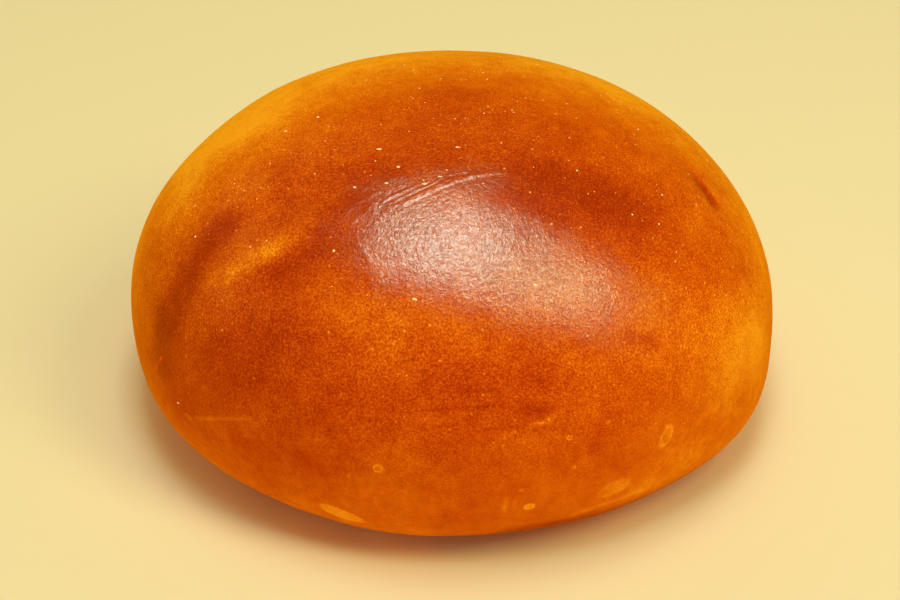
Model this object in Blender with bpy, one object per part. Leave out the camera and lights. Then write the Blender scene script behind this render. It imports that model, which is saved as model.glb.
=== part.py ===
"""A burger bun: one whole, uncut, glazed brioche bun.

The bun is one closed solid. A cube whose faces are cut into small squares is blown up to a
ball, and every point of the ball then moves to where the crust lies in its direction. The
crust follows a profile that is turned about the upright axis, and the baker's unevenness is
added to it: an oval plan with soft corners, a crown that leans, a waist that tilts, broad
swells, and a few creases.

Metres, +Z up. The bun stands on z = 0 and its box is centred on the origin. Front is -Y.
"""
import math
from collections import namedtuple

import bmesh
import bpy
import numpy as np

# Sizes of the plain bun, before its swells
WIDTH = 0.105
DEPTH = 0.098
HEIGHT = 0.054
WAIST_HEIGHT = 0.016

# Share of the waist that lies flat on the table
BASE_SHARE = 0.68

# Roundness of the crown and of the tucked-in side: 2 is a true ellipse, more is squarer
CROWN_POWER = 2.1
SIDE_POWER = 2.5

# The crown leans this far to the right and to the back
CROWN_LEAN = (0.0015, -0.0032)

# Rise of the waist for each metre to the right and to the back
WAIST_TILT = (-0.041, -0.012)

# Soft corners of the plan: how many, and their share of the radius along and across
PLAN_LOBES = ((3, -0.0040, -0.0044), (4, -0.0020, -0.0015))

# Squares along each edge of the cube that is blown up
SQUARES_PER_EDGE = 26

# Points along half of the profile
PROFILE_STEPS = 361

# Colour and finish of the baked, glazed crust
CRUST_COLOUR = (0.52, 0.105, 0.008, 1.0)
CRUST_ROUGHNESS = 0.34
GLAZE_WEIGHT = 0.6
GLAZE_ROUGHNESS = 0.22

# A swell lies at an azimuth from +X and a lift, in degrees. The lift is 90 in the middle of the
# crown, 0 half way down the section and -90 in the middle of the underside. The spread is an
# angle too, and the height is in metres: below nought it is a hollow.
Swell = namedtuple("Swell", "azimuth lift spread height")

SWELLS = (
    # The outline of the dome, back and left
    Swell(118, 15, 16, 0.0006),
    Swell(148, 12, 16, -0.0013),
    Swell(60, 20, 20, 0.0005),
    Swell(30, 10, 20, 0.0002),
    # The tucked-in side, from the right round the front to the left
    Swell(-28, -20, 16, 0.0018),
    Swell(-52, -30, 14, -0.0010),
    Swell(-78, -30, 12, -0.0011),
    Swell(-100, -30, 14, 0.0009),
    Swell(-125, -28, 14, -0.0005),
    Swell(-150, -20, 14, 0.0008),
)

# A crease follows a path of azimuths and lifts. Its half width is an angle in degrees, and its
# depth is in metres: below nought it is a ridge.
Crease = namedtuple("Crease", "path half_width depth")

CREASES = (
    # The short dimple high on the right
    Crease(((-2, 37.5), (-8.5, 32.5)), 2.2, 0.0006),
    # The pale stretched streak on the left, and the hollows on both sides of it
    Crease(((-141, 25), (-133, 45)), 3.5, -0.0003),
    Crease(((-151, 16), (-150, 36), (-140, 50)), 4.0, 0.0003),
    Crease(((-131, 22), (-124, 41)), 3.5, 0.0002),
    # The fold low on the front, where the side tucks under
    Crease(((-79, -19), (-70, -21)), 2.6, 0.0006),
    Crease(((-118, -16), (-106, -20)), 2.6, -0.0004),
)


def direction(azimuth, lift):
    """The unit vector at an azimuth from +X and a lift, both in degrees."""
    turn = math.radians(azimuth)
    rise = math.radians(lift)
    return np.array([math.cos(turn) * math.cos(rise), math.sin(turn) * math.cos(rise), math.sin(rise)])


def profile():
    """The bun's half section, from the middle of the crown to the middle of the base.

    Above the waist and below it the section is a quarter of a superellipse, and a straight
    line closes it along the table. Returned are the share of its length run so far, the
    distance from the axis as a share of the waist's, and the level: 1 at the crown, 0 at the
    waist and -1 on the table.
    """
    angle = np.linspace(0.0, math.pi / 2, PROFILE_STEPS)
    crown_reach = np.sin(angle) ** (2 / CROWN_POWER)
    crown_level = np.cos(angle) ** (2 / CROWN_POWER)
    side_reach = BASE_SHARE + (1 - BASE_SHARE) * np.cos(angle[1:]) ** (2 / SIDE_POWER)
    side_level = -np.sin(angle[1:]) ** (2 / SIDE_POWER)
    reach = np.concatenate([crown_reach, side_reach, [0.0]])
    level = np.concatenate([crown_level, side_level, [-1.0]])
    height = np.where(level > 0, level * (HEIGHT - WAIST_HEIGHT), level * WAIST_HEIGHT)
    run = np.hypot(np.diff(reach * WIDTH / 2), np.diff(height))
    share = np.concatenate([[0.0], np.cumsum(run)])
    return share / share[-1], reach, level


def plain_bun(ball):
    """The crust without swells, for unit vectors: the points, and how free of the table each is."""
    around = np.arctan2(ball[:, 1], ball[:, 0])
    fall = np.arccos(np.clip(ball[:, 2], -1.0, 1.0)) / math.pi
    share, reach, level = profile()
    reach = np.interp(fall, share, reach)
    level = np.interp(fall, share, level)
    for corners, along, across in PLAN_LOBES:
        reach = reach * (1 + along * np.cos(corners * around) + across * np.sin(corners * around))
    above = np.clip(level, 0.0, 1.0)
    below = np.clip(level, -1.0, 0.0)
    free = 1 + below
    x = reach * np.cos(around) * WIDTH / 2
    y = reach * np.sin(around) * DEPTH / 2
    z = WAIST_HEIGHT * free + (HEIGHT - WAIST_HEIGHT) * above
    z = z + free * (WAIST_TILT[0] * x + WAIST_TILT[1] * y)
    x = x + CROWN_LEAN[0] * above
    y = y + CROWN_LEAN[1] * above
    return np.stack([x, y, z], axis=1), free


def outward(points):
    """The outward direction of the ellipsoid nearest to the bun, at each point."""
    over = points[:, 2] > WAIST_HEIGHT
    half_height = np.where(over, HEIGHT - WAIST_HEIGHT, 1.4 * WAIST_HEIGHT)
    slope = np.stack([
        points[:, 0] / (WIDTH / 2) ** 2,
        points[:, 1] / (DEPTH / 2) ** 2,
        (points[:, 2] - WAIST_HEIGHT) / half_height ** 2,
    ], axis=1)
    return slope / np.linalg.norm(slope, axis=1)[:, None]


def swell_height(ball, swell):
    """A round hill: it falls off with the angle from its middle as a bell curve does."""
    apart = 1 - ball @ direction(swell.azimuth, swell.lift)
    return swell.height * np.exp(-apart / (1 - math.cos(math.radians(swell.spread))))


def distance_from_path(ball, path):
    """The distance of each unit vector from a path of straight runs between directions."""
    stops = [direction(*stop) for stop in path]
    away = np.full(len(ball), np.inf)
    for start, end in zip(stops, stops[1:]):
        run = end - start
        along = np.clip((ball - start) @ run / (run @ run), 0.0, 1.0)
        away = np.minimum(away, np.linalg.norm(ball - start - along[:, None] * run, axis=1))
    return away


def crease_height(ball, crease):
    """A furrow: it falls off with the distance from its path as a bell curve does."""
    away = distance_from_path(ball, crease.path)
    return -crease.depth * np.exp(-(away / math.radians(crease.half_width)) ** 2)


def crust(ball):
    """The crust for an array of unit vectors, with its box centred over the origin."""
    points, free = plain_bun(ball)
    height = sum(swell_height(ball, swell) for swell in SWELLS)
    height = height + sum(crease_height(ball, crease) for crease in CREASES)
    points = points + outward(points) * (height * free)[:, None]
    middle = (points.min(axis=0) + points.max(axis=0)) / 2
    points[:, :2] -= middle[:2]
    return points


def blow_up_cube(mesh):
    """Cuts a cube's faces into squares and pushes every point out to the unit ball.

    Each coordinate is stretched by the tangent first, which keeps the squares alike in size.
    """
    bmesh.ops.create_cube(mesh, size=2.0)
    bmesh.ops.subdivide_edges(mesh, edges=mesh.edges[:], cuts=SQUARES_PER_EDGE - 1, use_grid_fill=True)
    cube = np.array([vertex.co for vertex in mesh.verts])
    stretched = np.tan(cube * math.pi / 4)
    return stretched / np.linalg.norm(stretched, axis=1)[:, None]


def crust_material():
    """Baked brioche crust: warm brown, with a thin egg glaze over it."""
    material = bpy.data.materials.new("crust")
    material.use_nodes = True
    shader = material.node_tree.nodes["Principled BSDF"]
    shader.inputs["Base Color"].default_value = CRUST_COLOUR
    shader.inputs["Roughness"].default_value = CRUST_ROUGHNESS
    shader.inputs["Metallic"].default_value = 0.0
    shader.inputs["Coat Weight"].default_value = GLAZE_WEIGHT
    shader.inputs["Coat Roughness"].default_value = GLAZE_ROUGHNESS
    material.diffuse_color = CRUST_COLOUR
    return material


def make_bun():
    """The whole bun as one object."""
    mesh = bmesh.new()
    ball = blow_up_cube(mesh)
    for vertex, point in zip(mesh.verts, crust(ball)):
        vertex.co = point
    bmesh.ops.recalc_face_normals(mesh, faces=mesh.faces[:])
    data = bpy.data.meshes.new("bun")
    mesh.to_mesh(data)
    mesh.free()
    data.shade_smooth()
    data.materials.append(crust_material())
    bun = bpy.data.objects.new("bun", data)
    bpy.context.scene.collection.objects.link(bun)
    return bun


for old in list(bpy.data.objects):
    bpy.data.objects.remove(old, do_unlink=True)

make_bun()
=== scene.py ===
"""The glazed crust of a brioche burger bun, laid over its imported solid.

The file is laid out as a Blender add-on: the sizes and colours are scene properties, each
operator makes one piece or the stage, and the panel lists them. Run as a script, it makes
the whole bun. Metres, +Z up, front at -Y.
"""
import itertools
import math
from collections import namedtuple

import bpy
import numpy as np
from bpy.props import FloatProperty, FloatVectorProperty, IntProperty, PointerProperty
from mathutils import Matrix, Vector


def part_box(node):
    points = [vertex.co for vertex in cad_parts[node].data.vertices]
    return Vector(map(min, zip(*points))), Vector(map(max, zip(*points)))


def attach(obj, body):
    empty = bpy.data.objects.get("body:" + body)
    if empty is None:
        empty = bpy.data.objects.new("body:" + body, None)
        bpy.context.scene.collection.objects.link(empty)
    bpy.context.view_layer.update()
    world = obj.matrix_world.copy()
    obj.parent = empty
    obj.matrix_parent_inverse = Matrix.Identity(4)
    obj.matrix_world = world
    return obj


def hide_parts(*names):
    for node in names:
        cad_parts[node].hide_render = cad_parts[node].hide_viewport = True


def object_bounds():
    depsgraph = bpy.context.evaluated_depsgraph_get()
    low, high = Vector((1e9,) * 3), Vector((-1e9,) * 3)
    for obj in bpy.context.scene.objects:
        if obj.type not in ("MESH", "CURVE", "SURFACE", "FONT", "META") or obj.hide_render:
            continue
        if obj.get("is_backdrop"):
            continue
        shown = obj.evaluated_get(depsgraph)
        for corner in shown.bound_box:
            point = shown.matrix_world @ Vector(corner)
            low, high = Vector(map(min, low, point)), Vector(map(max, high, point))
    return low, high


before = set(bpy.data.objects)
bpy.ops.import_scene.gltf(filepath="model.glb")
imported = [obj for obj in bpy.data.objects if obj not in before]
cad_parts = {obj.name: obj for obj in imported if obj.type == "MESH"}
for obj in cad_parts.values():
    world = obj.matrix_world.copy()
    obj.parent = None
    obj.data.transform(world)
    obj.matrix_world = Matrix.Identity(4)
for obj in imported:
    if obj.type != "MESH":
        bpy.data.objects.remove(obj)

bl_info = {
    "name": "Brioche burger bun",
    "version": (1, 0, 0),
    "blender": (4, 5, 0),
    "location": "3D View > Sidebar > Bun",
    "description": "Makes a glazed brioche burger bun over its packed solid",
    "category": "Add Mesh",
}

CAD_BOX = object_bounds()
BUN_LOW, BUN_HIGH = (np.array(corner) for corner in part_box("bun"))
BUN_SIZE = BUN_HIGH - BUN_LOW

# The crown leans this far to the right and to the back
CROWN_LEAN = (0.0015, -0.0032)

# Rise of the waist for each metre to the right and to the back
WAIST_TILT = (-0.041, -0.012)

# Soft corners of the plan: how many, and their share of the radius along and across
PLAN_LOBES = ((3, -0.0040, -0.0044), (4, -0.0020, -0.0015))

# Below the waist, outward follows an ellipsoid this many times as deep as the waist is high
TUCK_STRETCH = 1.4

# Points on each of the section's two arcs
PROFILE_STEPS = 721

# A place on the bun is an azimuth, counted from +X, and a lift: 90 in the middle of the crown,
# 0 half way down the section and -90 in the middle of the underside. Both are degrees.

# A swell is a round hill on the dough. Its spread is in degrees, and its height in metres:
# below nought it is a hollow.
Swell = namedtuple("Swell", "azimuth lift spread height")

SWELLS = (
    # The outline of the dome, back and left
    Swell(118, 15, 16, 0.0006),
    Swell(148, 12, 16, -0.0013),
    Swell(60, 20, 20, 0.0005),
    Swell(30, 10, 20, 0.0002),
    # The tucked-in side, from the right round the front to the left
    Swell(-28, -20, 16, 0.0018),
    Swell(-52, -30, 14, -0.0010),
    Swell(-78, -30, 12, -0.0011),
    Swell(-100, -30, 14, 0.0009),
    Swell(-125, -28, 14, -0.0005),
    Swell(-150, -20, 14, 0.0008),
)

# A crease follows a path of azimuths and lifts. Its half width is in degrees, and its depth
# in metres: below nought it is a ridge.
Crease = namedtuple("Crease", "path half_width depth")

CREASES = (
    # The short dimple high on the right
    Crease(((-2, 37.5), (-8.5, 32.5)), 1.9, 0.0006),
    # The pale stretched streak on the left, and the hollows on both sides of it
    Crease(((-141, 25), (-133, 45)), 3.5, -0.0003),
    Crease(((-151, 16), (-150, 36), (-140, 50)), 4.0, 0.0003),
    Crease(((-131, 22), (-124, 41)), 3.5, 0.0002),
    # The fold low on the front, where the side tucks under
    Crease(((-79, -19), (-70, -21)), 1.6, 0.0006),
    Crease(((-118, -16), (-106, -20)), 1.8, -0.0004),
)

# A wrinkle is a narrow line in the skin: its path, its half width in degrees, its height in
# metres, and how much browner (or, below nought, paler) it is
Wrinkle = namedtuple("Wrinkle", "path half_width height browner")

CROWN_ROLL = ((-112.5, 55.7), (-103.8, 61.3), (-95.1, 65), (-82.8, 66.8), (-61.2, 67))

WRINKLES = (
    # The crisp roll of crust that bounds the front of the crown, a little paler along it as a
    # painted highlight, and behind it a dark line of painted shade, with no height, where a furrow
    # would be
    Wrinkle(CROWN_ROLL, 0.65, 0.00011, -0.10),
    Wrinkle(((-116.1, 49.7), (-115, 54.8), (-110, 60), (-103, 63.3), (-95, 66.3), (-85, 68.2)),
            0.5, 0.0, 0.30),
    # The stretched folds on the left of the highlight
    Wrinkle(((-116.1, 48.5), (-114.8, 54.2), (-108, 60.2)), 0.4, 0.000022, -0.06),
    Wrinkle(((-118.5, 50.9), (-118.5, 55.7), (-114.3, 59.3), (-107.4, 62)), 0.5, 0.00003, 0.18),
    Wrinkle(((-123, 47), (-122, 51), (-119, 56), (-112, 61)), 0.5, 0.00003, 0.12),
    Wrinkle(((-118.8, 45), (-114.9, 43), (-110.7, 40.4)), 0.5, 0.000025, 0.10),
    Wrinkle(((-126, 49), (-126, 53), (-120, 59)), 0.5, 0.000025, 0.12),
    # The faint step low on the left, and the pale marks above it
    Wrinkle(((-139.5, -8.0), (-136.8, -6.6), (-129.9, -1.8), (-122.7, 1.9)), 0.45, 0.00013, -0.26),
    Wrinkle(((-151.2, -5.0), (-150, -1.8), (-148.6, 1.4)), 0.45, 0.00006, -0.30),
    Wrinkle(((-144.2, 10.8), (-143.2, 8.4)), 0.4, 0.00005, -0.24),
    # Painted shade: a dark line along the bottom of the dimple; and the pale skin on its right
    Wrinkle(((-2.0, 38.4), (-5.8, 34.8), (-11.0, 30.4)), 1.8, 0.0, 0.52),
    Wrinkle(((-0.6, 35.6), (-3.2, 33.2), (-6.0, 30.4)), 0.6, 0.00004, -0.14),
    # The lower edge of the soft oval bulge at the front
    Wrinkle(((-79.6, 10.6), (-77, 9.4), (-74.2, 9.8), (-72.6, 11.6), (-71.6, 14)),
            0.6, 0.00014, -0.24),
    Wrinkle(((-79, 15.5), (-75, 15.0), (-72.5, 16.5)), 0.5, 0.00004, -0.06),
    # The edge above the fold at the lower right: a low ridge, paler along it as a painted
    # highlight
    Wrinkle(((-71, -18.6), (-67.2, -16.6), (-62.1, -15.2), (-54.3, -15), (-46, -14.6)),
            0.8, 0.0001, -0.16),
    # Faint stretched lines across the front
    Wrinkle(((-97, 12.2), (-92, 12.9), (-86, 13.6), (-81, 14.4)), 0.5, 0.0, 0.16),
    Wrinkle(((-95, 16.6), (-88, 17.0), (-80, 17.4)), 0.4, 0.0, 0.12),
    Wrinkle(((-110, 8.4), (-103, 9.0), (-97, 9.2)), 0.4, 0.0, 0.10),
    Wrinkle(((-88, 8.6), (-82, 8.8), (-79.5, 9.4)), 0.4, 0.0, 0.12),
    # The short pale marks under them
    Wrinkle(((-81.3, -7.6), (-81.6, -13.6)), 0.5, 0.00004, -0.20),
    Wrinkle(((-79.8, -8.6), (-80.1, -12.6)), 0.4, 0.00004, -0.14),
)

# Where the glaze lies thickest: paths, and their half widths in degrees
THICK_GLAZE = (
    (((-105, 49), (-95, 50.5), (-80, 46.5)), 12),
    (((-112, 59), (-98, 64), (-80, 67)), 4),
    (((-80, 44), (-64, 33.5), (-51, 23)), 8.5),
)

# A blister is an oval of paler skin with a raised rim: its place, its half sizes across and up,
# its turn in degrees, the height of its rim, and how much paler its middle and its rim are
Blister = namedtuple("Blister", "azimuth lift across up turn rim paler pale_rim")

BLISTERS = (
    Blister(-52.8, -1.1, 0.0010, 0.0018, -22, 0.00008, 0.13, 0.20),
    Blister(-102.3, -2.3, 0.0007, 0.0007, 0, 0.00008, 0.18, 0.22),
    Blister(-107.1, -5.6, 0.0003, 0.0005, -20, 0.00003, 0.16, 0.10),
    Blister(-77.4, -11.6, 0.0008, 0.0006, 10, 0.00005, 0.34, 0.30),
    Blister(-78.9, -6.8, 0.0003, 0.0003, 0, 0.00004, 0.20, 0.20),
    Blister(-47.4, 7.1, 0.0010, 0.0008, 0, 0.00006, 0.06, 0.06),
    Blister(-64.2, 7.1, 0.0004, 0.0003, 0, 0.00004, 0.20, 0.20),
    Blister(-71.1, 5.3, 0.0004, 0.0004, 0, 0.00004, 0.24, 0.30),
    Blister(-70.2, -2.3, 0.0003, 0.0003, 0, 0.00003, 0.20, 0.16),
    Blister(-62.6, -10.8, 0.0028, 0.0015, 15, 0.00002, 0.16, 0.02),
    Blister(-109.2, -17.0, 0.0034, 0.0012, -14, 0.00004, 0.26, 0.10),
    Blister(-140.2, -8.4, 0.0007, 0.0005, 0, 0.00004, 0.20, 0.14),
    Blister(-120.0, 5.0, 0.0005, 0.0006, 0, 0.00002, 0.10, 0.04),
)

# A tone: its path, its half width in degrees, and how much browner (or, below nought, paler)
Tone = namedtuple("Tone", "path half_width browner")

TONES = (
    # Reddish brown behind the highlight and under it
    Tone(((-52, 61), (-42, 54), (-36, 46)), 8, 0.28),
    Tone(((-125, 60), (-90, 66), (-60, 62)), 9, 0.15),
    Tone(((-112, 50), (-88, 48)), 9, 0.18),
    Tone(((-78, 43), (-62, 33)), 7, 0.12),
    Tone(((-130, 28), (-116, 38), (-104, 35)), 7, 0.06),
    # A little browner high on the left, and from the back down the right
    Tone(((-156, 50), (-144, 45)), 3.5, 0.14),
    Tone(((36, 32), (15, 30), (-5, 25), (-12, 19)), 9, 0.12),
    # Reddish brown in the hollows beside the streak on the left, and across the front
    Tone(((-150, 9), (-150, 19), (-153, 33)), 4.0, 0.40),
    Tone(((-132, 33), (-128, 41), (-131, 45)), 3.5, 0.19),
    Tone(((-133, 10), (-127, 18)), 7, 0.18),
    Tone(((-146, 0), (-128, 6)), 8, 0.08),
    Tone(((-90, 19), (-78, 19)), 7, 0.12),
    Tone(((-120, 24), (-113, 12)), 8, 0.10),
    # The pale stretched streak
    Tone(((-136, 36), (-132.5, 45)), 2.6, -0.24),
    Tone(((-141, 28), (-137, 35)), 2.8, -0.28),
    Tone(((-145, 24), (-142, 25)), 3.0, -0.12),
    # Pale gold patches below the highlight
    Tone(((-119, 33), (-110, 29), (-102, 25)), 5, -0.12),
    Tone(((-106, 34), (-97, 33), (-88, 28)), 5, -0.17),
    Tone(((-52, 23), (-40, 20), (-30, 14)), 7, -0.20),
    # Pale gold on the right, round the back and high on the left: partly less baked crust at the
    # rim, and partly a painted golden reflection along the edges and painted bounce light low on
    # the right
    Tone(((-50, 0), (-40, 8), (-24, 6)), 9, -0.15),
    Tone(((-34, 5), (-14, 14), (-5, 22)), 10, -0.24),
    Tone(((-24, 3), (-29, -12), (-42, -11), (-56, -14)), 6, -0.17),
    Tone(((40, 46), (70, 56), (100, 57), (140, 54), (162, 47)), 21, -0.42),
    Tone(((20, 28), (50, 36), (90, 38), (130, 36), (160, 30)), 17, -0.34),
    Tone(((10, 10), (50, 8), (90, 8), (130, 8), (170, 8)), 18, -0.24),
    Tone(((170, 40), (168, 32), (-172, 26)), 8, -0.22),
    # The crust round the dimple, browner there as painted shade, under the step on the left, and
    # in the bulge at the front
    Tone(((-3, 38.5), (-8.5, 33.5)), 2.0, 0.10),
    Tone(((-138, -9), (-124, -1)), 2.2, -0.06),
    Tone(((-152, -3), (-140, -9), (-124, -14)), 6, 0.08),
    Tone(((-151, 5), (-146, -4), (-128, -5), (-112, -6)), 5.5, 0.11),
    Tone(((-153, 9), (-149, 0)), 4, 0.14),
    Tone(((-78.5, 13.4), (-75, 12.4)), 1.5, 0.16),
    # Painted shade on the crust that curls under at the lower right, darkest low down where it
    # tucks in
    Tone(((-80, -23), (-72, -20.5), (-67, -19.5)), 2.4, 0.30),
    Tone(((-90, -27), (-76, -25.5), (-67, -23.5), (-57, -22), (-46, -22), (-38, -22)), 3.6, 0.55),
    # A small dark patch at the right end of the highlight
    Tone(((-56, 23), (-53, 21.5)), 2.2, 0.26),
)


class BunSizes(bpy.types.PropertyGroup):
    """The sizes of the bun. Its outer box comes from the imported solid."""
    width: FloatProperty(
        name="Width", description="Across the widest line, left to right",
        default=float(BUN_SIZE[0]), unit="LENGTH")
    depth: FloatProperty(
        name="Depth", description="Across the widest line, front to back",
        default=float(BUN_SIZE[1]), unit="LENGTH")
    height: FloatProperty(
        name="Height", description="From the table to the top of the crown",
        default=float(BUN_SIZE[2]), unit="LENGTH")
    waist_share: FloatProperty(
        name="Waist level", description="Level of the widest line, as a share of the height",
        default=0.296, subtype="FACTOR")
    base_share: FloatProperty(
        name="Base share", description="Share of the waist that lies flat on the table",
        default=0.68, subtype="FACTOR")
    crown_power: FloatProperty(
        name="Crown roundness", description="2 is a true ellipse, more is squarer", default=2.1)
    side_power: FloatProperty(
        name="Side roundness", description="2 is a true ellipse, more is squarer", default=2.5)
    squares: IntProperty(
        name="Squares", description="Squares a side of the sheet that is folded into the crust",
        default=310)


class BunColours(bpy.types.PropertyGroup):
    """The colours of the crust, from the palest to the most baked, and of the stage."""
    # Gold is also the colour of the painted golden reflection round the rim and of painted bounce
    # light
    gold: FloatVectorProperty(
        name="Gold", description="Least baked crust, round the rim",
        subtype="COLOR", size=3, default=(0.98, 0.350, 0.012))
    amber: FloatVectorProperty(
        name="Amber", description="Lightly baked crust",
        subtype="COLOR", size=3, default=(0.75, 0.147, 0.003))
    chestnut: FloatVectorProperty(
        name="Chestnut", description="Well baked crust",
        subtype="COLOR", size=3, default=(0.55, 0.058, 0.002))
    mahogany: FloatVectorProperty(
        name="Mahogany", description="Most baked crust",
        subtype="COLOR", size=3, default=(0.34, 0.020, 0.001))
    # The pale bead colour is partly the glaze drops' own and partly a painted glint
    bead: FloatVectorProperty(
        name="Bead", description="Dried drops of glaze",
        subtype="COLOR", size=3, default=(1.0, 0.78, 0.52))
    floor: FloatVectorProperty(
        name="Floor", description="The pale table",
        subtype="COLOR", size=3, default=(0.90, 0.74, 0.56))


def direction(azimuth, lift):
    """The unit vector at an azimuth from +X and a lift, both in degrees."""
    turn = math.radians(azimuth)
    rise = math.radians(lift)
    reach = math.cos(rise)
    return np.array([math.cos(turn) * reach, math.sin(turn) * reach, math.sin(rise)])


def square_corners(index):
    """The four corners of every square of a grid of point numbers, row by row."""
    corners = [index[:-1, :-1], index[:-1, 1:], index[1:, 1:], index[1:, :-1]]
    return np.stack(corners, axis=-1).reshape(-1, 4)


def grid_faces(rows, columns):
    """The faces of a plain grid whose points are numbered row by row."""
    return square_corners(np.arange(rows * columns).reshape(rows, columns))


# Stands in for a distance of nought where something is divided by it
NEAR_NOUGHT = 1e-9


def folded_ball(squares):
    """A unit ball made of one square sheet, and the faces of its welded grid.

    The two parameters run from -1 to 1 across the sheet. The sum of their absolute values is
    1 on the diamond that becomes the ball's equator: the diamond's middle is the top, and the
    sheet's four corners fold down to meet at the bottom. With r as the distance from the top
    or the bottom, 1 at the equator, the height is 1 - r squared and the turn about the axis
    goes evenly along each diamond, so every square covers the same share of the ball. Each
    edge of the sheet is welded to itself about its middle, which closes the seams.
    """
    ticks = np.linspace(-1.0, 1.0, squares + 1)
    across, along = np.meshgrid(ticks, ticks)
    over = 1 - np.abs(across) - np.abs(along)
    r = 1 - np.abs(over)
    steep = (np.abs(along) - np.abs(across)) / np.maximum(r, NEAR_NOUGHT)
    turn = (steep + 1) * math.pi / 4
    reach = r * np.sqrt(np.maximum(2 - r ** 2, 0))
    ball = np.stack([
        np.copysign(np.cos(turn), across) * reach,
        np.copysign(np.sin(turn), along) * reach,
        np.copysign(1 - r ** 2, over),
    ], axis=-1)

    index = np.arange((squares + 1) ** 2).reshape(squares + 1, squares + 1)
    for edge in (0, -1):
        index[edge] = np.minimum(index[edge], index[edge, ::-1])
    for edge in (0, -1):
        index[:, edge] = np.minimum(index[:, edge], index[::-1, edge])
    kept, index = np.unique(index, return_inverse=True)
    faces = square_corners(index.reshape(squares + 1, squares + 1))
    return ball.reshape(-1, 3)[kept], faces


# How many random numbers the noise deals out, and the large primes that spread the corners of
# its lattice over them
NOISE_NUMBERS = 8192
LATTICE_PRIMES = (73856093, 19349663, 83492791)


def soft_noise(points, size, seed):
    """Smooth noise between -1 and 1.

    A random number sits on each corner of a lattice of cubes of the given size, and inside a
    cube the eight numbers are blended with weights that ease in and out.
    """
    numbers = np.random.default_rng(seed).uniform(-1.0, 1.0, NOISE_NUMBERS)
    place = points / size
    cell = np.floor(place).astype(np.int64)
    part = place - cell
    part = part * part * (3 - 2 * part)
    total = np.zeros(len(points))
    for corner in itertools.product((0, 1), repeat=3):
        key = (cell + corner) @ np.array(LATTICE_PRIMES)
        weight = np.prod(np.where(corner, part, 1 - part), axis=1)
        total += weight * numbers[key % NOISE_NUMBERS]
    return total


def profile(sizes):
    """The half section, from the middle of the crown to the middle of the underside.

    Above the waist and below it the section is a quarter of a superellipse, and a straight
    line closes it along the table. Returned are the share of its length run so far, the
    distance from the axis as a share of the waist's, and the level: 1 at the crown, 0 at the
    waist and -1 on the table.
    """
    angle = np.linspace(0.0, math.pi / 2, PROFILE_STEPS)
    crown_reach = np.sin(angle) ** (2 / sizes.crown_power)
    crown_level = np.cos(angle) ** (2 / sizes.crown_power)
    base = sizes.base_share
    side_reach = base + (1 - base) * np.cos(angle[1:]) ** (2 / sizes.side_power)
    side_level = -np.sin(angle[1:]) ** (2 / sizes.side_power)
    reach = np.concatenate([crown_reach, side_reach, [0.0]])
    level = np.concatenate([crown_level, side_level, [-1.0]])
    waist = sizes.waist_share * sizes.height
    height = np.where(level > 0, level * (sizes.height - waist), level * waist)
    run = np.hypot(np.diff(reach * sizes.width / 2), np.diff(height))
    share = np.concatenate([[0.0], np.cumsum(run)])
    return share / share[-1], reach, level


def plain_bun(ball, sizes):
    """The bun without swells, for unit vectors: its points, and how free of the table each is."""
    around = np.arctan2(ball[:, 1], ball[:, 0])
    fall = np.arccos(np.clip(ball[:, 2], -1.0, 1.0)) / math.pi
    share, reach, level = profile(sizes)
    reach = np.interp(fall, share, reach)
    level = np.interp(fall, share, level)
    for corners, along, across in PLAN_LOBES:
        reach = reach * (1 + along * np.cos(corners * around) + across * np.sin(corners * around))
    waist = sizes.waist_share * sizes.height
    above = np.clip(level, 0.0, 1.0)
    free = 1 + np.clip(level, -1.0, 0.0)
    x = reach * np.cos(around) * sizes.width / 2
    y = reach * np.sin(around) * sizes.depth / 2
    z = waist * free + (sizes.height - waist) * above
    z = z + free * (WAIST_TILT[0] * x + WAIST_TILT[1] * y)
    x = x + CROWN_LEAN[0] * above
    y = y + CROWN_LEAN[1] * above
    return np.stack([x, y, z], axis=1), free


def outward(points, sizes):
    """The outward direction of the ellipsoid nearest to the bun, at each point."""
    waist = sizes.waist_share * sizes.height
    half_height = np.where(points[:, 2] > waist, sizes.height - waist, TUCK_STRETCH * waist)
    slope = np.stack([
        points[:, 0] / (sizes.width / 2) ** 2,
        points[:, 1] / (sizes.depth / 2) ** 2,
        (points[:, 2] - waist) / half_height ** 2,
    ], axis=1)
    return slope / np.linalg.norm(slope, axis=1)[:, None]


def swell_height(ball, swell):
    """A round hill: it falls off with the angle from its middle as a bell curve does."""
    apart = 1 - ball @ direction(swell.azimuth, swell.lift)
    return swell.height * np.exp(-apart / (1 - math.cos(math.radians(swell.spread))))


def distance_from_path(ball, path):
    """The distance of each unit vector from a path of straight runs between directions."""
    stops = [direction(*stop) for stop in path]
    away = np.full(len(ball), np.inf)
    for start, end in zip(stops, stops[1:]):
        run = end - start
        along = np.clip((ball - start) @ run / (run @ run), 0.0, 1.0)
        away = np.minimum(away, np.linalg.norm(ball - start - along[:, None] * run, axis=1))
    return away


def bell(away, half_width):
    """1 in the middle of a path, falling off on both sides as a bell curve does."""
    return np.exp(-(away / math.radians(half_width)) ** 2)


def smooth_step(value, low, high):
    """0 below low, 1 above high, and an eased ramp between them."""
    part = np.clip((value - low) / (high - low), 0.0, 1.0)
    return part * part * (3 - 2 * part)


def dough_height(ball):
    """The broad unevenness that the solid has too: the sum of the swells and creases."""
    height = sum(swell_height(ball, swell) for swell in SWELLS)
    for crease in CREASES:
        away = distance_from_path(ball, crease.path)
        height = height - crease.depth * bell(away, crease.half_width)
    return height


def dough_points(ball, sizes):
    """The broad form, for unit vectors: its points, and how free of the table each is."""
    points, free = plain_bun(ball, sizes)
    return points + outward(points, sizes) * (dough_height(ball) * free)[:, None], free


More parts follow.
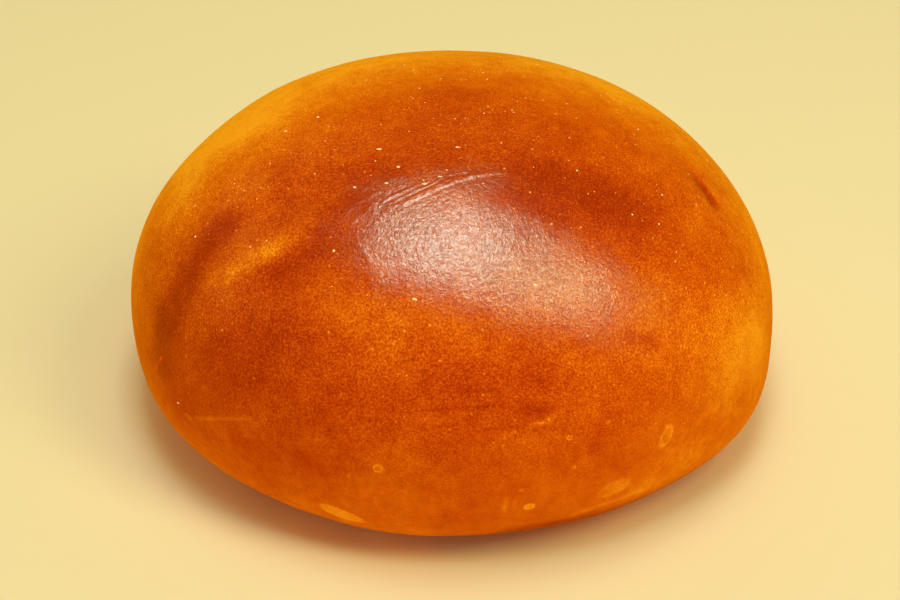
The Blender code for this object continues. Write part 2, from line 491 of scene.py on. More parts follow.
# A layer of noise: the size of its features in metres, how strong it is, its seed, and the share
# of it that is left where there is no glaze
Noise = namedtuple("Noise", "size strength seed bare", defaults=(1.0,))

# Soft dents, smaller dents and the pebbles of the glaze, in metres
SKIN_NOISE = (
    Noise(0.011, 0.00012, 1),
    Noise(0.0042, 0.00004, 2),
    Noise(0.0019, 0.000022, 3, 0.4),
)

# The skin's relief is whole where the crust is this free of the table
SKIN_FREE = 0.3

# Ripples beside the crown's roll: their height in metres, how fast they follow each other away
# from the roll, how far they reach in degrees, and the noise that bends them
RIPPLE_HEIGHT = 0.00002
RIPPLE_PACE = 260
RIPPLE_REACH = 9.0
RIPPLE_BEND = Noise(0.004, 2.2, 11)

# The crust's middle is found on a sheet with this many times fewer squares a side
COARSER = 3

# The glaze begins and is full at these levels
GLAZE_LEVELS = (0.030, 0.046)

# It thickens while the bells about its thickest paths add up to between these two values. A
# noise makes its edge ragged, and a thin share of it lies all over the crown.
GLAZE_EDGE = (0.05, 0.75)
GLAZE_RAGGED = Noise(0.0025, 0.22, 12)
THIN_GLAZE = 0.14


def noise_layer(points, noise):
    """One layer of noise, as strong as it is where there is glaze."""
    return noise.strength * soft_noise(points, noise.size, noise.seed)


def skin_height(ball, points, glaze):
    """The skin's own relief: waves that die out away from the crown's roll, and the noises."""
    roll = distance_from_path(ball, CROWN_ROLL)
    ripple = np.sin(roll * RIPPLE_PACE + noise_layer(points, RIPPLE_BEND))
    height = RIPPLE_HEIGHT * ripple * bell(roll, RIPPLE_REACH) * glaze
    for noise in SKIN_NOISE:
        height = height + noise_layer(points, noise) * (noise.bare + (1 - noise.bare) * glaze)
    return height


def crust_points(ball, sizes):
    """The crust, for unit vectors: its points, and how glazed each is.

    The box of the broad form is centred over the origin.
    """
    form, _ = dough_points(folded_ball(sizes.squares // COARSER)[0], sizes)
    middle = (form.min(axis=0) + form.max(axis=0)) / 2
    points, free = dough_points(ball, sizes)
    points[:, :2] -= middle[:2]
    thick = sum(bell(distance_from_path(ball, path), spread) for path, spread in THICK_GLAZE)
    thick = smooth_step(thick + noise_layer(points, GLAZE_RAGGED), *GLAZE_EDGE)
    glaze = smooth_step(points[:, 2], *GLAZE_LEVELS) * (THIN_GLAZE + (1 - THIN_GLAZE) * thick)
    skin = skin_height(ball, points, glaze) * smooth_step(free, 0.0, SKIN_FREE)
    return points + outward(points, sizes) * skin[:, None], glaze


# How baked the crust is at the table, and how much browner it gets between two levels. The palest
# crust, low down by the table, is partly painted bounce light from the table.
PALEST_TONE = 0.34
LEVEL_TONES = ((0.001, 0.012, 0.11), (0.008, 0.030, 0.12), (0.038, 0.050, 0.11))

# Broad and smaller clouds of tone, and the most baked that any crust is
TONE_NOISE = (Noise(0.014, 0.07, 21), Noise(0.006, 0.05, 22))
DARKEST_TONE = 0.92


def baked_tone_and_painted_light(ball, points):
    """How baked the crust is, from 0, pale gold, to 1, mahogany, with some painted shade and
    light.

    It is the sum of what the level, the patches of tone and the clouds of noise give.
    """
    tone = np.full(len(ball), PALEST_TONE)
    for low, high, browner in LEVEL_TONES:
        tone = tone + browner * smooth_step(points[:, 2], low, high)
    for patch in TONES:
        away = distance_from_path(ball, patch.path)
        tone = tone + patch.browner * bell(away, patch.half_width)
    return tone + sum(noise_layer(points, noise) for noise in TONE_NOISE)


def mesh_piece(name, points, faces, attributes=()):
    """An object at the origin with the given points, faces and point attributes, shaded smooth."""
    mesh = bpy.data.meshes.new(name)
    sides = faces.shape[1]
    mesh.vertices.add(len(points))
    mesh.vertices.foreach_set("co", points.astype(np.float32).ravel())
    mesh.loops.add(faces.size)
    mesh.loops.foreach_set("vertex_index", faces.astype(np.int32).ravel())
    mesh.polygons.add(len(faces))
    mesh.polygons.foreach_set("loop_start", np.arange(0, faces.size, sides, dtype=np.int32))
    mesh.update(calc_edges=True)
    mesh.validate()
    mesh.shade_smooth()
    for label, values in attributes:
        layer = mesh.attributes.new(label, "FLOAT", "POINT")
        layer.data.foreach_set("value", values.astype(np.float32))
    piece = bpy.data.objects.new(name, mesh)
    bpy.context.scene.collection.objects.link(piece)
    return piece


class NodeDesk:
    """Short ways to lay and join the nodes of one material.

    An input is either a plain value or another node's output. Sizes are in metres.
    """

    def __init__(self, name):
        self.material = bpy.data.materials.new(name)
        self.material.use_nodes = True
        self.tree = self.material.node_tree
        self.shader = self.tree.nodes["Principled BSDF"]

    def node(self, kind, inputs=None, **settings):
        """A new node of the given kind, with its settings made before its inputs are fed."""
        made = self.tree.nodes.new(kind)
        for key, value in settings.items():
            setattr(made, key, value)
        for key, value in (inputs or {}).items():
            self.feed(value, made.inputs[key])
        return made

    def feed(self, value, socket):
        """Links a node's output to a socket, or sets the socket to a plain value."""
        if isinstance(value, bpy.types.NodeSocket):
            self.tree.links.new(value, socket)
        else:
            socket.default_value = value

    def math(self, operation, *values):
        """The values brought together by one operation, from left to right."""
        total = values[0]
        for value in values[1:]:
            step = self.node("ShaderNodeMath", {0: total, 1: value}, operation=operation)
            total = step.outputs[0]
        return total

    def vector(self, operation, inputs, output=0):
        """One step of vector maths."""
        return self.node("ShaderNodeVectorMath", inputs, operation=operation).outputs[output]

    def place(self):
        """The place on the object itself."""
        return self.node("ShaderNodeTexCoord").outputs["Object"]

    def noise(self, size, detail=2.0, roughness=0.5, distortion=0.0):
        """Noise with features of the given size, from about 0 to 1."""
        made = self.node("ShaderNodeTexNoise", {
            "Vector": self.place(), "Scale": 1 / size, "Detail": detail,
            "Roughness": roughness, "Distortion": distortion})
        return made.outputs["Fac"]

    def fleck(self, gap, size, rarity):
        """Small round flecks, one in each of some cells.

        The gap is the cells' size, and the size is a fleck's share of it. A fleck is full
        within 0.4 of its size. A cell has one where its chance, from 0 to 1, passes the
        rarity, and it has its full strength where the chance is 0.1 past it.
        """
        cells = self.node("ShaderNodeTexVoronoi", {"Vector": self.place(), "Scale": 1 / gap})
        parts = self.node("ShaderNodeSeparateColor", {"Color": cells.outputs["Color"]})
        dot = self.spread(cells.outputs["Distance"], size, size * 0.4)
        return self.math("MULTIPLY", dot, self.spread(parts.outputs["Red"], rarity, rarity + 0.1))

    def rings(self, centre, gap, turn):
        """Noise drawn out into arcs round a centre, with the given gap and turn of each arc.

        It is noise of the heading, which the turn in radians scales, and, as a fourth
        measure, of the distance from the centre. It is whole from 8 gaps away, and there is
        none of it within 2.
        """
        offset = self.vector("SUBTRACT", {0: self.place(), 1: centre})
        away = self.vector("LENGTH", {0: offset}, "Value")
        heading = self.vector("NORMALIZE", {0: offset})
        made = self.node("ShaderNodeTexNoise", {
            "Vector": self.vector("SCALE", {0: heading, "Scale": 1 / turn}),
            "W": self.math("MULTIPLY", away, 1 / gap), "Scale": 1.0}, noise_dimensions="4D")
        return self.math("MULTIPLY", made.outputs["Fac"], self.spread(away, 2 * gap, 8 * gap))

    def bump(self, height, strength, depth):
        """A surface that is shaded as if it had the given relief."""
        made = self.node("ShaderNodeBump", {
            "Height": height, "Strength": strength, "Distance": depth})
        return made.outputs["Normal"]

    def attribute(self, label):
        """One of the mesh's own attributes."""
        return self.node("ShaderNodeAttribute", attribute_name=label).outputs["Fac"]

    def spread(self, value, low, high, out_low=0.0, out_high=1.0):
        """The value's run from low to high, laid out from out_low to out_high and held there."""
        made = self.node("ShaderNodeMapRange", {
            "Value": value, "From Min": low, "From Max": high,
            "To Min": out_low, "To Max": out_high})
        return made.outputs["Result"]

    def ramp(self, value, stops):
        """A colour for each value, blended between stops of a value and a colour."""
        made = self.node("ShaderNodeValToRGB", {"Fac": value})
        elements = made.color_ramp.elements
        while len(elements) < len(stops):
            elements.new(1.0)
        for element, (place, colour) in zip(elements, stops):
            element.position = place
            element.color = (*colour, 1.0)
        return made.outputs["Color"]

    def dress(self, sockets):
        """Feeds sockets of the shader. What is the same all over is set on the socket itself."""
        for label, value in sockets.items():
            self.feed(value, self.shader.inputs[label])


# Sizes of what is seen in the crust, in metres: its specks, the soft mottle and the blotches of
# its colour, the gap of its flecks, and the pits, pebbles and fine grain of its glaze
SPECK_SIZE = 0.00031
MOTTLE_SIZE = 0.0016
BLOTCH_SIZE = 0.005
FLECK_GAP = 0.0016
PIT_SIZE = 0.0005
PEBBLE_SIZE = 0.0008
FINE_SIZE = 0.00028

# How far they change the tone, and the noise's own values over which it changes
SPECK_TONE = 0.39
MOTTLE_TONE = 0.06
BLOTCH_TONE = 0.09
FLECK_TONE = 0.45
SPECK_RUN = (0.25, 0.75)
CLOUD_RUN = (0.3, 0.7)

# A fleck's share of its cell, and the chance past which a cell has one
FLECK_SHARE = 0.17
FLECK_RARITY = 0.60

# The noise's values from the bottom of a pit to the glaze round it, and the share of the coat
# that is left at the bottom
PIT_RUN = (0.38, 0.58)
PIT_COAT = 0.42

# The coat thins from the first to the second of these, where 0 is crust that faces the eye
# and 1 is crust seen from the side
TURNED_RUN = (0.22, 0.50)

# The fine wrinkles of the glaze are arcs round this point of the crown. They lie this far
# apart, and each is this long, in radians.
WRINKLE_CENTRE = (0.0025, -0.0284, 0.0493)
WRINKLE_GAP = 0.0008
WRINKLE_TURN = 0.17

# The relief of the wrinkles and of the fine grain, where that of the pebbles is 1
WRINKLE_RELIEF = 0.55
FINE_RELIEF = 0.4

# Depth of the relief that is too fine for the mesh
BUMP_DEPTH = 0.00012

# Roughness of the crust with no glaze and under the thickest
BARE_ROUGHNESS = 0.60
GLAZED_ROUGHNESS = 0.45


def crust_colour(desk, flecks, colours):
    """From gold to mahogany by how baked the crust is, with flecks, specks and blotches."""
    specks = desk.noise(SPECK_SIZE, detail=3.0, roughness=0.6)
    specks = desk.spread(specks, *SPECK_RUN, -SPECK_TONE, SPECK_TONE)
    grain = desk.math("MULTIPLY", desk.math("SUBTRACT", specks, flecks), desk.attribute("grainy"))
    mottle = desk.noise(MOTTLE_SIZE, detail=2.0)
    mottle = desk.spread(mottle, *CLOUD_RUN, -MOTTLE_TONE, MOTTLE_TONE)
    blotches = desk.noise(BLOTCH_SIZE, detail=4.0, roughness=0.6)
    blotches = desk.spread(blotches, *CLOUD_RUN, -BLOTCH_TONE, BLOTCH_TONE)
    # The baked attribute also holds the painted shade and painted light of the tones and wrinkles
    tone = desk.math("ADD", desk.attribute("baked"), grain, mottle, blotches)
    return desk.ramp(tone, (
        (0.0, colours.gold), (0.34, colours.amber),
        (0.66, colours.chestnut), (1.0, colours.mahogany)))


def coat_weight(desk, glaze):
    """The glaze, thinned in its small pits and where the crust turns away."""
    pits = desk.noise(PIT_SIZE, detail=3.0, roughness=0.7)
    pits = desk.spread(pits, *PIT_RUN, PIT_COAT, 1.0)
    facing = desk.node("ShaderNodeLayerWeight", {"Blend": 0.5}).outputs["Facing"]
    return desk.math("MULTIPLY", glaze, pits, desk.spread(facing, *TURNED_RUN, 1.0, 0.0))


def fine_relief(desk, glaze, flecks):
    """The finest relief: wrinkled arcs in the glaze, pebbles, fine grain and the flecks."""
    rings = desk.rings(WRINKLE_CENTRE, WRINKLE_GAP, WRINKLE_TURN)
    rings = desk.math("MULTIPLY", rings, glaze, WRINKLE_RELIEF)
    pebbles = desk.noise(PEBBLE_SIZE, detail=4.0, roughness=0.7, distortion=0.3)
    fine = desk.noise(FINE_SIZE, detail=2.0, roughness=0.6)
    fine = desk.math("MULTIPLY", fine, FINE_RELIEF)
    return desk.math("ADD", rings, pebbles, fine, flecks)


def crust_material(colours):
    """Baked crust under an egg glaze. All the pieces of crust share it."""
    made = bpy.data.materials.get("brioche_crust")
    if made:
        return made
    desk = NodeDesk("brioche_crust")
    glaze = desk.attribute("glaze")
    flecks = desk.fleck(FLECK_GAP, FLECK_SHARE, FLECK_RARITY)
    flecks = desk.math("MULTIPLY", flecks, FLECK_TONE)
    relief = fine_relief(desk, glaze, flecks)
    desk.dress({
        "Base Color": crust_colour(desk, flecks, colours),
        "Roughness": desk.spread(glaze, 0.0, 1.0, BARE_ROUGHNESS, GLAZED_ROUGHNESS),
        "IOR": 1.35,
        "Normal": desk.bump(relief, 0.8, BUMP_DEPTH),
        "Specular IOR Level": 0.0,
        "Specular Tint": (1.0, 0.55, 0.10, 1.0),
        "Coat Weight": coat_weight(desk, glaze),
        "Coat Roughness": 0.125,
        "Coat IOR": 2.08,
        "Coat Normal": desk.bump(relief, 0.9, BUMP_DEPTH),
        "Sheen Weight": 0.55,
        "Sheen Roughness": 0.42,
        "Sheen Tint": (0.92, 0.40, 0.005, 1.0),
    })
    return desk.material


def floor_material(colours):
    """A plain pale matt table."""
    desk = NodeDesk("pale_table")
    desk.dress({
        "Base Color": (*colours.floor, 1.0), "Roughness": 0.9, "Specular IOR Level": 0.1})
    return desk.material


# A sheet of crust: its unit vectors and faces, how far it lies off the crust in metres, and how
# much browner it is
Sheet = namedtuple("Sheet", "ball faces lift browner")

# The grain fades between these two levels down to its share at the table, and between these two
# depths to its share at the back
GRAIN_LEVELS = (0.010, 0.036)
GRAIN_AT_TABLE = 0.25
GRAIN_DEPTHS = (-0.018, 0.010)
GRAIN_AT_BACK = 0.5


def join_sheets(sheets):
    """Many sheets as one, in their order."""
    starts = np.cumsum([0] + [len(sheet.ball) for sheet in sheets])
    return Sheet(
        np.concatenate([sheet.ball for sheet in sheets]),
        np.concatenate([sheet.faces + start for sheet, start in zip(sheets, starts)]),
        np.concatenate([sheet.lift for sheet in sheets]),
        np.concatenate([sheet.browner for sheet in sheets]))


def crust_piece(name, sheets, scene):
    """One object of crust: its sheets, laid on the crust and lifted off it."""
    sheet = join_sheets(sheets)
    points, glaze = crust_points(sheet.ball, scene.bun_sizes)
    # The baked tone also holds painted shade and painted light from the levels, tones and sheets
    baked = np.clip(baked_tone_and_painted_light(sheet.ball, points) + sheet.browner, 0.0, DARKEST_TONE)
    points = points + outward(points, scene.bun_sizes) * sheet.lift[:, None]
    up = smooth_step(points[:, 2], *GRAIN_LEVELS)
    back = smooth_step(points[:, 1], *GRAIN_DEPTHS)
    grainy = (GRAIN_AT_TABLE + (1 - GRAIN_AT_TABLE) * up) * (1 - (1 - GRAIN_AT_BACK) * back)
    piece = mesh_piece(name, points, sheet.faces, (
        ("baked", baked), ("glaze", glaze), ("grainy", grainy)))
    piece.data.materials.append(crust_material(scene.bun_colours))
    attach(piece, "root")
    return piece


class BUN_OT_crust(bpy.types.Operator):
    """Make the glazed crust, from the crown to the flat underside"""
    bl_idname = "bun.crust"
    bl_label = "Crust"

    def execute(self, context):
        ball, faces = folded_ball(context.scene.bun_sizes.squares)
        plain = np.zeros(len(ball))
        piece = crust_piece("bun_crust", [Sheet(ball, faces, plain, plain)], context.scene)
        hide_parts("bun")
        return {"FINISHED"}


# A wrinkle or blister lies this far off the crust, and its edge as far inside it
CLEARANCE = 0.000015

# A wrinkle's strip has this many points along and across it, and reaches this many half widths
# to each side
STRIP_POINTS = (61, 13)
STRIP_REACH = 2.0

# The shares of its length, from each end, over which it comes up out of the crust and in which
# it gets its full height
STRIP_SINK = 0.08
STRIP_EASE = 0.3

# How strong a wrinkle is, and the noise that makes it stronger and weaker on its way
STRIP_STRENGTH = 0.75
STRIP_NOISE = Noise(0.03, 0.5, 31)


def wrinkle_sheet(wrinkle):
    """A strip of skin along a wrinkle's path.

    The first parameter runs along a curve, cubic at most, that is fitted to the path, and
    the second across it. The height falls off across as a bell curve does, and eases in and
    out at the two ends.
    """
    stops = np.array([direction(*stop) for stop in wrinkle.path])
    along = np.linspace(0.0, 1.0, STRIP_POINTS[0])
    across = np.linspace(-STRIP_REACH, STRIP_REACH, STRIP_POINTS[1])
    bends = np.polyfit(np.linspace(0.0, 1.0, len(stops)), stops, min(3, len(stops) - 1))
    spine = np.stack([np.polyval(bends[:, axis], along) for axis in range(3)], axis=1)
    spine /= np.linalg.norm(spine, axis=1)[:, None]
    side = np.cross(spine, np.gradient(spine, axis=0))
    side /= np.linalg.norm(side, axis=1)[:, None]
    offset = math.radians(wrinkle.half_width) * across[None, :, None]
    ball = (spine[:, None] + offset * side[:, None]).reshape(-1, 3)
    ball /= np.linalg.norm(ball, axis=1)[:, None]
    from_end = 0.5 - np.abs(along - 0.5)
    strength = np.outer(smooth_step(from_end, 0.0, STRIP_EASE), np.exp(-across ** 2)).ravel()
    strength = strength * (STRIP_STRENGTH + noise_layer(ball, STRIP_NOISE))
    sunk_end = smooth_step(-from_end, -STRIP_SINK, 0.0)[:, None]
    sunk_side = smooth_step(np.abs(across), 1.0, STRIP_REACH)
    sunk = np.maximum(sunk_end, sunk_side).ravel()
    lift = wrinkle.height * strength + CLEARANCE * (1 - 2 * sunk)
    return Sheet(ball, grid_faces(*STRIP_POINTS), lift, wrinkle.browner * strength)


def square_disc(steps):
    """The places of a square grid that is rounded into a unit disc.

    The two parameters run from -1 to 1. Each is shortened by the root of one less half the
    other's square.
    """
    ticks = np.linspace(-1.0, 1.0, steps)
    u, v = np.meshgrid(ticks, ticks)
    rounded = [u * np.sqrt(1 - v ** 2 / 2), v * np.sqrt(1 - u ** 2 / 2)]
    return np.stack(rounded, axis=-1).reshape(-1, 2)


# The step on the ball with which the crust's stretch is felt out
PROBE = 0.01


def local_axes(place, turn, sizes):
    """A place's unit vector, and the two steps on the ball that move the crust by one metre.

    On the crust they stand about square to each other, and the first is turned from level
    by the given angle in degrees.
    """
    middle = direction(*place)
    east = np.cross((0.0, 0.0, 1.0), middle)
    east /= np.linalg.norm(east)
    rise = np.cross(middle, east)
    near = np.array([middle, middle + PROBE * east, middle + PROBE * rise])
    points, _ = dough_points(near, sizes)
    east = east * PROBE / np.linalg.norm(points[1] - points[0])
    rise = rise * PROBE / np.linalg.norm(points[2] - points[0])
    cos, sin = math.cos(math.radians(turn)), math.sin(math.radians(turn))
    return middle, east * cos + rise * sin, rise * cos - east * sin


# A blister's disc has this many points a side, and reaches this many times as far as its rim.
# It starts to sink into the crust at this reach.
DISC_POINTS = 21
DISC_REACH = 1.7
DISC_SINK = 1.3

# In the same measure, the half width of the rim and where the paler skin inside it ends
RIM_WIDTH = 0.22
INSIDE_EDGE = (0.85, 1.15)


def blister_sheet(blister, sizes):
    """A disc of skin over a blister, with a raised rim and paler skin inside it.

    The two parameters are those of the unit disc, which is stretched to the blister's half
    sizes and then on to its reach. The rim is a bell curve of the reach, which is 1 on it.
    """
    disc = square_disc(DISC_POINTS) * DISC_REACH
    middle, across, up = local_axes((blister.azimuth, blister.lift), blister.turn, sizes)
    ball = middle + disc[:, :1] * blister.across * across + disc[:, 1:] * blister.up * up
    ball /= np.linalg.norm(ball, axis=1)[:, None]
    reach = np.linalg.norm(disc, axis=1)
    rim = np.exp(-((reach - 1) / RIM_WIDTH) ** 2)
    inside = 1 - smooth_step(reach, *INSIDE_EDGE)
    lift = blister.rim * rim + CLEARANCE * (1 - 2 * smooth_step(reach, DISC_SINK, DISC_REACH))
    browner = -blister.paler * inside - blister.pale_rim * rim
    return Sheet(ball, grid_faces(DISC_POINTS, DISC_POINTS), lift, browner)


class BUN_OT_wrinkles(bpy.types.Operator):
    """Make the narrow wrinkles in the skin"""
    bl_idname = "bun.wrinkles"
    bl_label = "Wrinkles"

    def execute(self, context):
        sheets = [wrinkle_sheet(wrinkle) for wrinkle in WRINKLES]
        crust_piece("wrinkles", sheets, context.scene)
        return {"FINISHED"}


class BUN_OT_blisters(bpy.types.Operator):
    """Make the small blisters low on the crust"""
    bl_idname = "bun.blisters"
    bl_label = "Blisters"

    def execute(self, context):
        sizes = context.scene.bun_sizes
        sheets = [blister_sheet(blister, sizes) for blister in BLISTERS]
        crust_piece("blisters", sheets, context.scene)
        return {"FINISHED"}


# A glaze bead: its place, its length and width, the turn of its long side in degrees, and its
# colour from 0, gold, to 1, cream, a pale colour that is partly a painted glint
Bead = namedtuple("Bead", "azimuth lift length width turn cream", defaults=(1.0,))

BEADS = (
    # The larger ones, behind the highlight and on its left
    Bead(-139.8, 68.0, 0.0010, 0.0004, 25),
    Bead(-122.4, 65.9, 0.0007, 0.0005, 0),
    Bead(-106.5, 63.2, 0.0011, 0.0004, 10),
    Bead(-121.5, 60.8, 0.0007, 0.0004, 15),
    Bead(-100.8, 65.9, 0.0010, 0.0003, 0),
    Bead(-130.8, 56.9, 0.0006, 0.0004, 0),
    Bead(177.3, 59.9, 0.0005, 0.0005, 0),
    Bead(-178.2, 53.0, 0.0006, 0.0003, 60),
    Bead(-94.5, 75.6, 0.0006, 0.0004, 0),
    # Single ones round the front
    Bead(-157.2, 26.9, 0.0005, 0.0004, 0),
    Bead(-122.4, 41.6, 0.0005, 0.0005, 0),
    Bead(-99.9, 35.3, 0.0009, 0.0004, -10),
    Bead(-72.9, 38.6, 0.0007, 0.0004, -30),
    Bead(-143.1, -7.1, 0.0007, 0.0004, 20),
    # Small ones on the right of the crown
    Bead(-36.9, 61.1, 0.0004, 0.0004, 0),
    Bead(9.6, 50.9, 0.0004, 0.0003, 0),
    Bead(-21.3, 44.6, 0.0004, 0.0004, 0),
    Bead(-36.6, 46.4, 0.0004, 0.0004, 0),
    Bead(-32.1, 41.3, 0.0005, 0.0003, 40),
)


# The small beads that are strewn over the crown: how many, and the seed of their draw
STREWN_BEADS = 520
STREWN_SEED = 5

# Their highest lift and how far down from it they reach, in degrees, the length of the
# shortest and how much longer the longest is, in metres, their width as a share of their
# length, and the creamiest of their colours
STREWN_TOP = 88
STREWN_FALL = 62
STREWN_LENGTH = 0.00014
STREWN_GROWTH = 0.00030
STREWN_WIDTH = 0.8
STREWN_CREAM = 0.5

# A bead has this many points a side. Its dome is this share of half its width high, and sinks
# into the crust by this share of it.
BEAD_POINTS = 5
BEAD_RISE = 0.7
BEAD_SINK = 0.25


def scattered_beads(count, seed):
    """Small beads strewn over the crown, thickest round its middle.

    The lift falls with the power 0.8 of a draw, and the length grows with the power 4 of one,
    so most beads are very small.
    """
    dice = np.random.default_rng(seed)
    azimuths = dice.uniform(-180.0, 180.0, count)
    lifts = STREWN_TOP - STREWN_FALL * dice.uniform(0.0, 1.0, count) ** 0.8
    lengths = STREWN_LENGTH + STREWN_GROWTH * dice.uniform(0.0, 1.0, count) ** 4
    creams = dice.uniform(0.0, STREWN_CREAM, count)
    return [Bead(azimuth, lift, length, length * STREWN_WIDTH, 0.0, cream)
            for azimuth, lift, length, cream in zip(azimuths, lifts, lengths, creams)]


def bead_domes(beads, sizes):
    """All the beads' points and faces.

    A bead is a dome over a unit disc that is stretched to half the bead's length and half
    its width. Its height over the disc is that of half a ball, flattened by the rise.
    """
    disc = square_disc(BEAD_POINTS)
    level = np.sqrt(np.maximum(1 - np.sum(disc ** 2, axis=1), 0))
    dome = np.column_stack([disc, level])
    quads = grid_faces(BEAD_POINTS, BEAD_POINTS)

    ball = np.array([direction(bead.azimuth, bead.lift) for bead in beads])
    points, _ = crust_points(ball, sizes)
    up = outward(points, sizes)
    east = np.cross((0.0, 0.0, 1.0), up)
    east /= np.linalg.norm(east, axis=1)[:, None]
    north = np.cross(up, east)
    turn = np.radians([bead.turn for bead in beads])[:, None]
    long_side = east * np.cos(turn) + north * np.sin(turn)
    short_side = north * np.cos(turn) - east * np.sin(turn)
    length = np.array([bead.length for bead in beads])[:, None, None] / 2
    width = np.array([bead.width for bead in beads])[:, None, None] / 2
    placed = points[:, None] + (
        dome[None, :, :1] * length * long_side[:, None]
        + dome[None, :, 1:2] * width * short_side[:, None]
        + (dome[None, :, 2:] * BEAD_RISE - BEAD_SINK) * width * up[:, None])
    faces = quads[None] + np.arange(len(beads))[:, None, None] * len(dome)
    return placed.reshape(-1, 3), faces.reshape(-1, 4)


def bead_material(colours):
    """Dried drops of glaze: shiny, and pale, partly their own colour and partly a painted glint.
    """
    desk = NodeDesk("glaze_beads")
    colour = desk.ramp(desk.attribute("cream"), ((0.0, colours.gold), (1.0, colours.bead)))
    desk.dress({"Base Color": colour, "Roughness": 0.30, "Specular IOR Level": 0.6})
    return desk.material


class BUN_OT_beads(bpy.types.Operator):
    """Make the small beads of dried glaze on the crust"""
    bl_idname = "bun.beads"
    bl_label = "Glaze beads"

    def execute(self, context):
        beads = [*BEADS, *scattered_beads(STREWN_BEADS, STREWN_SEED)]
        points, faces = bead_domes(beads, context.scene.bun_sizes)
        cream = np.repeat([bead.cream for bead in beads], len(points) // len(beads))
        piece = mesh_piece("glaze_beads", points, faces, [("cream", cream)])
        piece.data.materials.append(bead_material(context.scene.bun_colours))
        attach(piece, "root")
        return {"FINISHED"}


# The camera looks down from the front, by this many degrees. Its distance and aim, in metres,
# and its lens frame the bun as in the photo.
CAMERA_LIFT = 37.0
CAMERA_DISTANCE = 0.3524
CAMERA_AIM = (-0.0003, 0.0, 0.0149)
LENS_MM = 85.0

# The table reaches this far to each side, and lies this little below the bun, in metres
TABLE_REACH = 3.0
TABLE_DROP = 0.00005

# The even light of the room
ROOM_COLOUR = (1.0, 0.80, 0.30, 1.0)
ROOM_STRENGTH = 0.20

# A lamp: its name, where it hangs from the aim and its two sides, in metres, its power in
# watts, and its colour
Lamp = namedtuple("Lamp", "name place size power colour")

LAMPS = (
    Lamp("overhead", (0.01, -0.05, 0.62), (0.19, 0.30), 1.24, (0.86, 1.0, 1.0)),
    Lamp("glow", (0.01, -0.05, 0.66), (0.36, 0.52), 1.14, (0.92, 1.0, 0.30)),
    Lamp("right", (0.37, -0.225, 0.52), (0.18, 0.34), 1.55, (1.0, 0.94, 0.46)),
    Lamp("front", (0.05, -1.02, 0.11), (3.0, 0.24), 4.5, (1.0, 0.86, 0.60)),
    Lamp("left", (-1.00, -0.20, 0.12), (0.8, 0.22), 1.45, (1.0, 0.80, 0.45)),
    Lamp("back", (-0.45, 0.88, 0.40), (1.6, 0.5), 3.2, (0.86, 1.0, 0.50)),
)


def look_from(thing, place, aim):
    """Puts a lamp or camera at a place, turned so that it looks at the aim."""
    thing.location = place
    thing.rotation_euler = (Vector(aim) - Vector(place)).to_track_quat("-Z", "Y").to_euler()


def add_lamp(lamp):
    """A rectangular soft light that faces the bun."""
    data = bpy.data.lights.new(lamp.name, "AREA")
    data.shape = "RECTANGLE"
    data.size, data.size_y = lamp.size
    data.energy = lamp.power
    data.color = lamp.colour
    thing = bpy.data.objects.new(lamp.name, data)
    bpy.context.scene.collection.objects.link(thing)
    look_from(thing, [a + b for a, b in zip(CAMERA_AIM, lamp.place)], CAMERA_AIM)


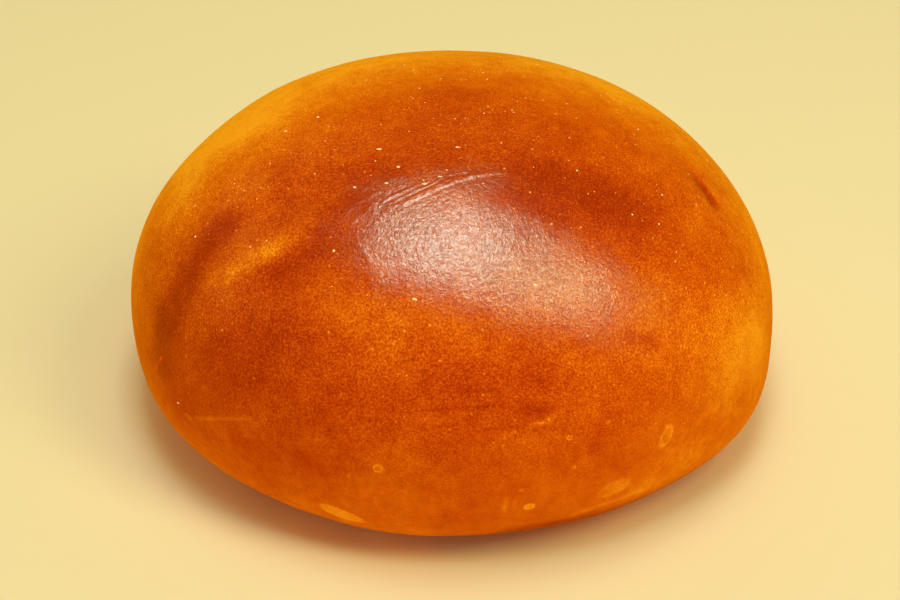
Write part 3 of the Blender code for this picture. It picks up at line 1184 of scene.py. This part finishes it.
class BUN_OT_stage(bpy.types.Operator):
    """Make the pale table, the soft lamps and the camera"""
    bl_idname = "bun.stage"
    bl_label = "Stage"

    def execute(self, context):
        scene = context.scene
        corners = np.array([(-1, -1, 0), (1, -1, 0), (1, 1, 0), (-1, 1, 0)]) * TABLE_REACH
        corners[:, 2] = -TABLE_DROP
        floor = mesh_piece("table", corners, np.array([[0, 1, 2, 3]]))
        floor.data.materials.append(floor_material(scene.bun_colours))
        floor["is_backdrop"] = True

        world = bpy.data.worlds.new("room")
        world.use_nodes = True
        room = world.node_tree.nodes["Background"]
        room.inputs["Color"].default_value = ROOM_COLOUR
        room.inputs["Strength"].default_value = ROOM_STRENGTH
        scene.world = world
        for lamp in LAMPS:
            add_lamp(lamp)

        lens = bpy.data.cameras.new("camera")
        lens.lens = LENS_MM
        camera = bpy.data.objects.new("camera", lens)
        scene.collection.objects.link(camera)
        tilt = math.radians(CAMERA_LIFT)
        back = (0.0, -math.cos(tilt) * CAMERA_DISTANCE, math.sin(tilt) * CAMERA_DISTANCE)
        look_from(camera, [a + b for a, b in zip(CAMERA_AIM, back)], CAMERA_AIM)
        scene.camera = camera
        scene.view_settings.view_transform = "Standard"
        return {"FINISHED"}


class BUN_PT_panel(bpy.types.Panel):
    """The bun's pieces, sizes and colours in the 3D view's sidebar"""
    bl_label = "Brioche burger bun"
    bl_idname = "BUN_PT_panel"
    bl_space_type = "VIEW_3D"
    bl_region_type = "UI"
    bl_category = "Bun"

    def draw(self, context):
        for maker in OPERATORS:
            self.layout.operator(maker.bl_idname)
        for group in (context.scene.bun_sizes, context.scene.bun_colours):
            box = self.layout.box()
            for label in group.__annotations__:
                box.prop(group, label)


OPERATORS = (BUN_OT_crust, BUN_OT_wrinkles, BUN_OT_blisters, BUN_OT_beads, BUN_OT_stage)
CLASSES = (BunSizes, BunColours, *OPERATORS, BUN_PT_panel)


def register():
    for kind in CLASSES:
        bpy.utils.register_class(kind)
    bpy.types.Scene.bun_sizes = PointerProperty(type=BunSizes)
    bpy.types.Scene.bun_colours = PointerProperty(type=BunColours)


def unregister():
    del bpy.types.Scene.bun_colours
    del bpy.types.Scene.bun_sizes
    for kind in reversed(CLASSES):
        bpy.utils.unregister_class(kind)


def main():
    register()
    bpy.ops.bun.crust()
    bpy.ops.bun.wrinkles()
    bpy.ops.bun.blisters()
    bpy.ops.bun.beads()
    bpy.ops.bun.stage()
    boxes = {"cad": CAD_BOX, "visual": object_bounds()}
    boxes = {label: [list(map(float, corner)) for corner in box] for label, box in boxes.items()}


if __name__ == "__main__":
    main()
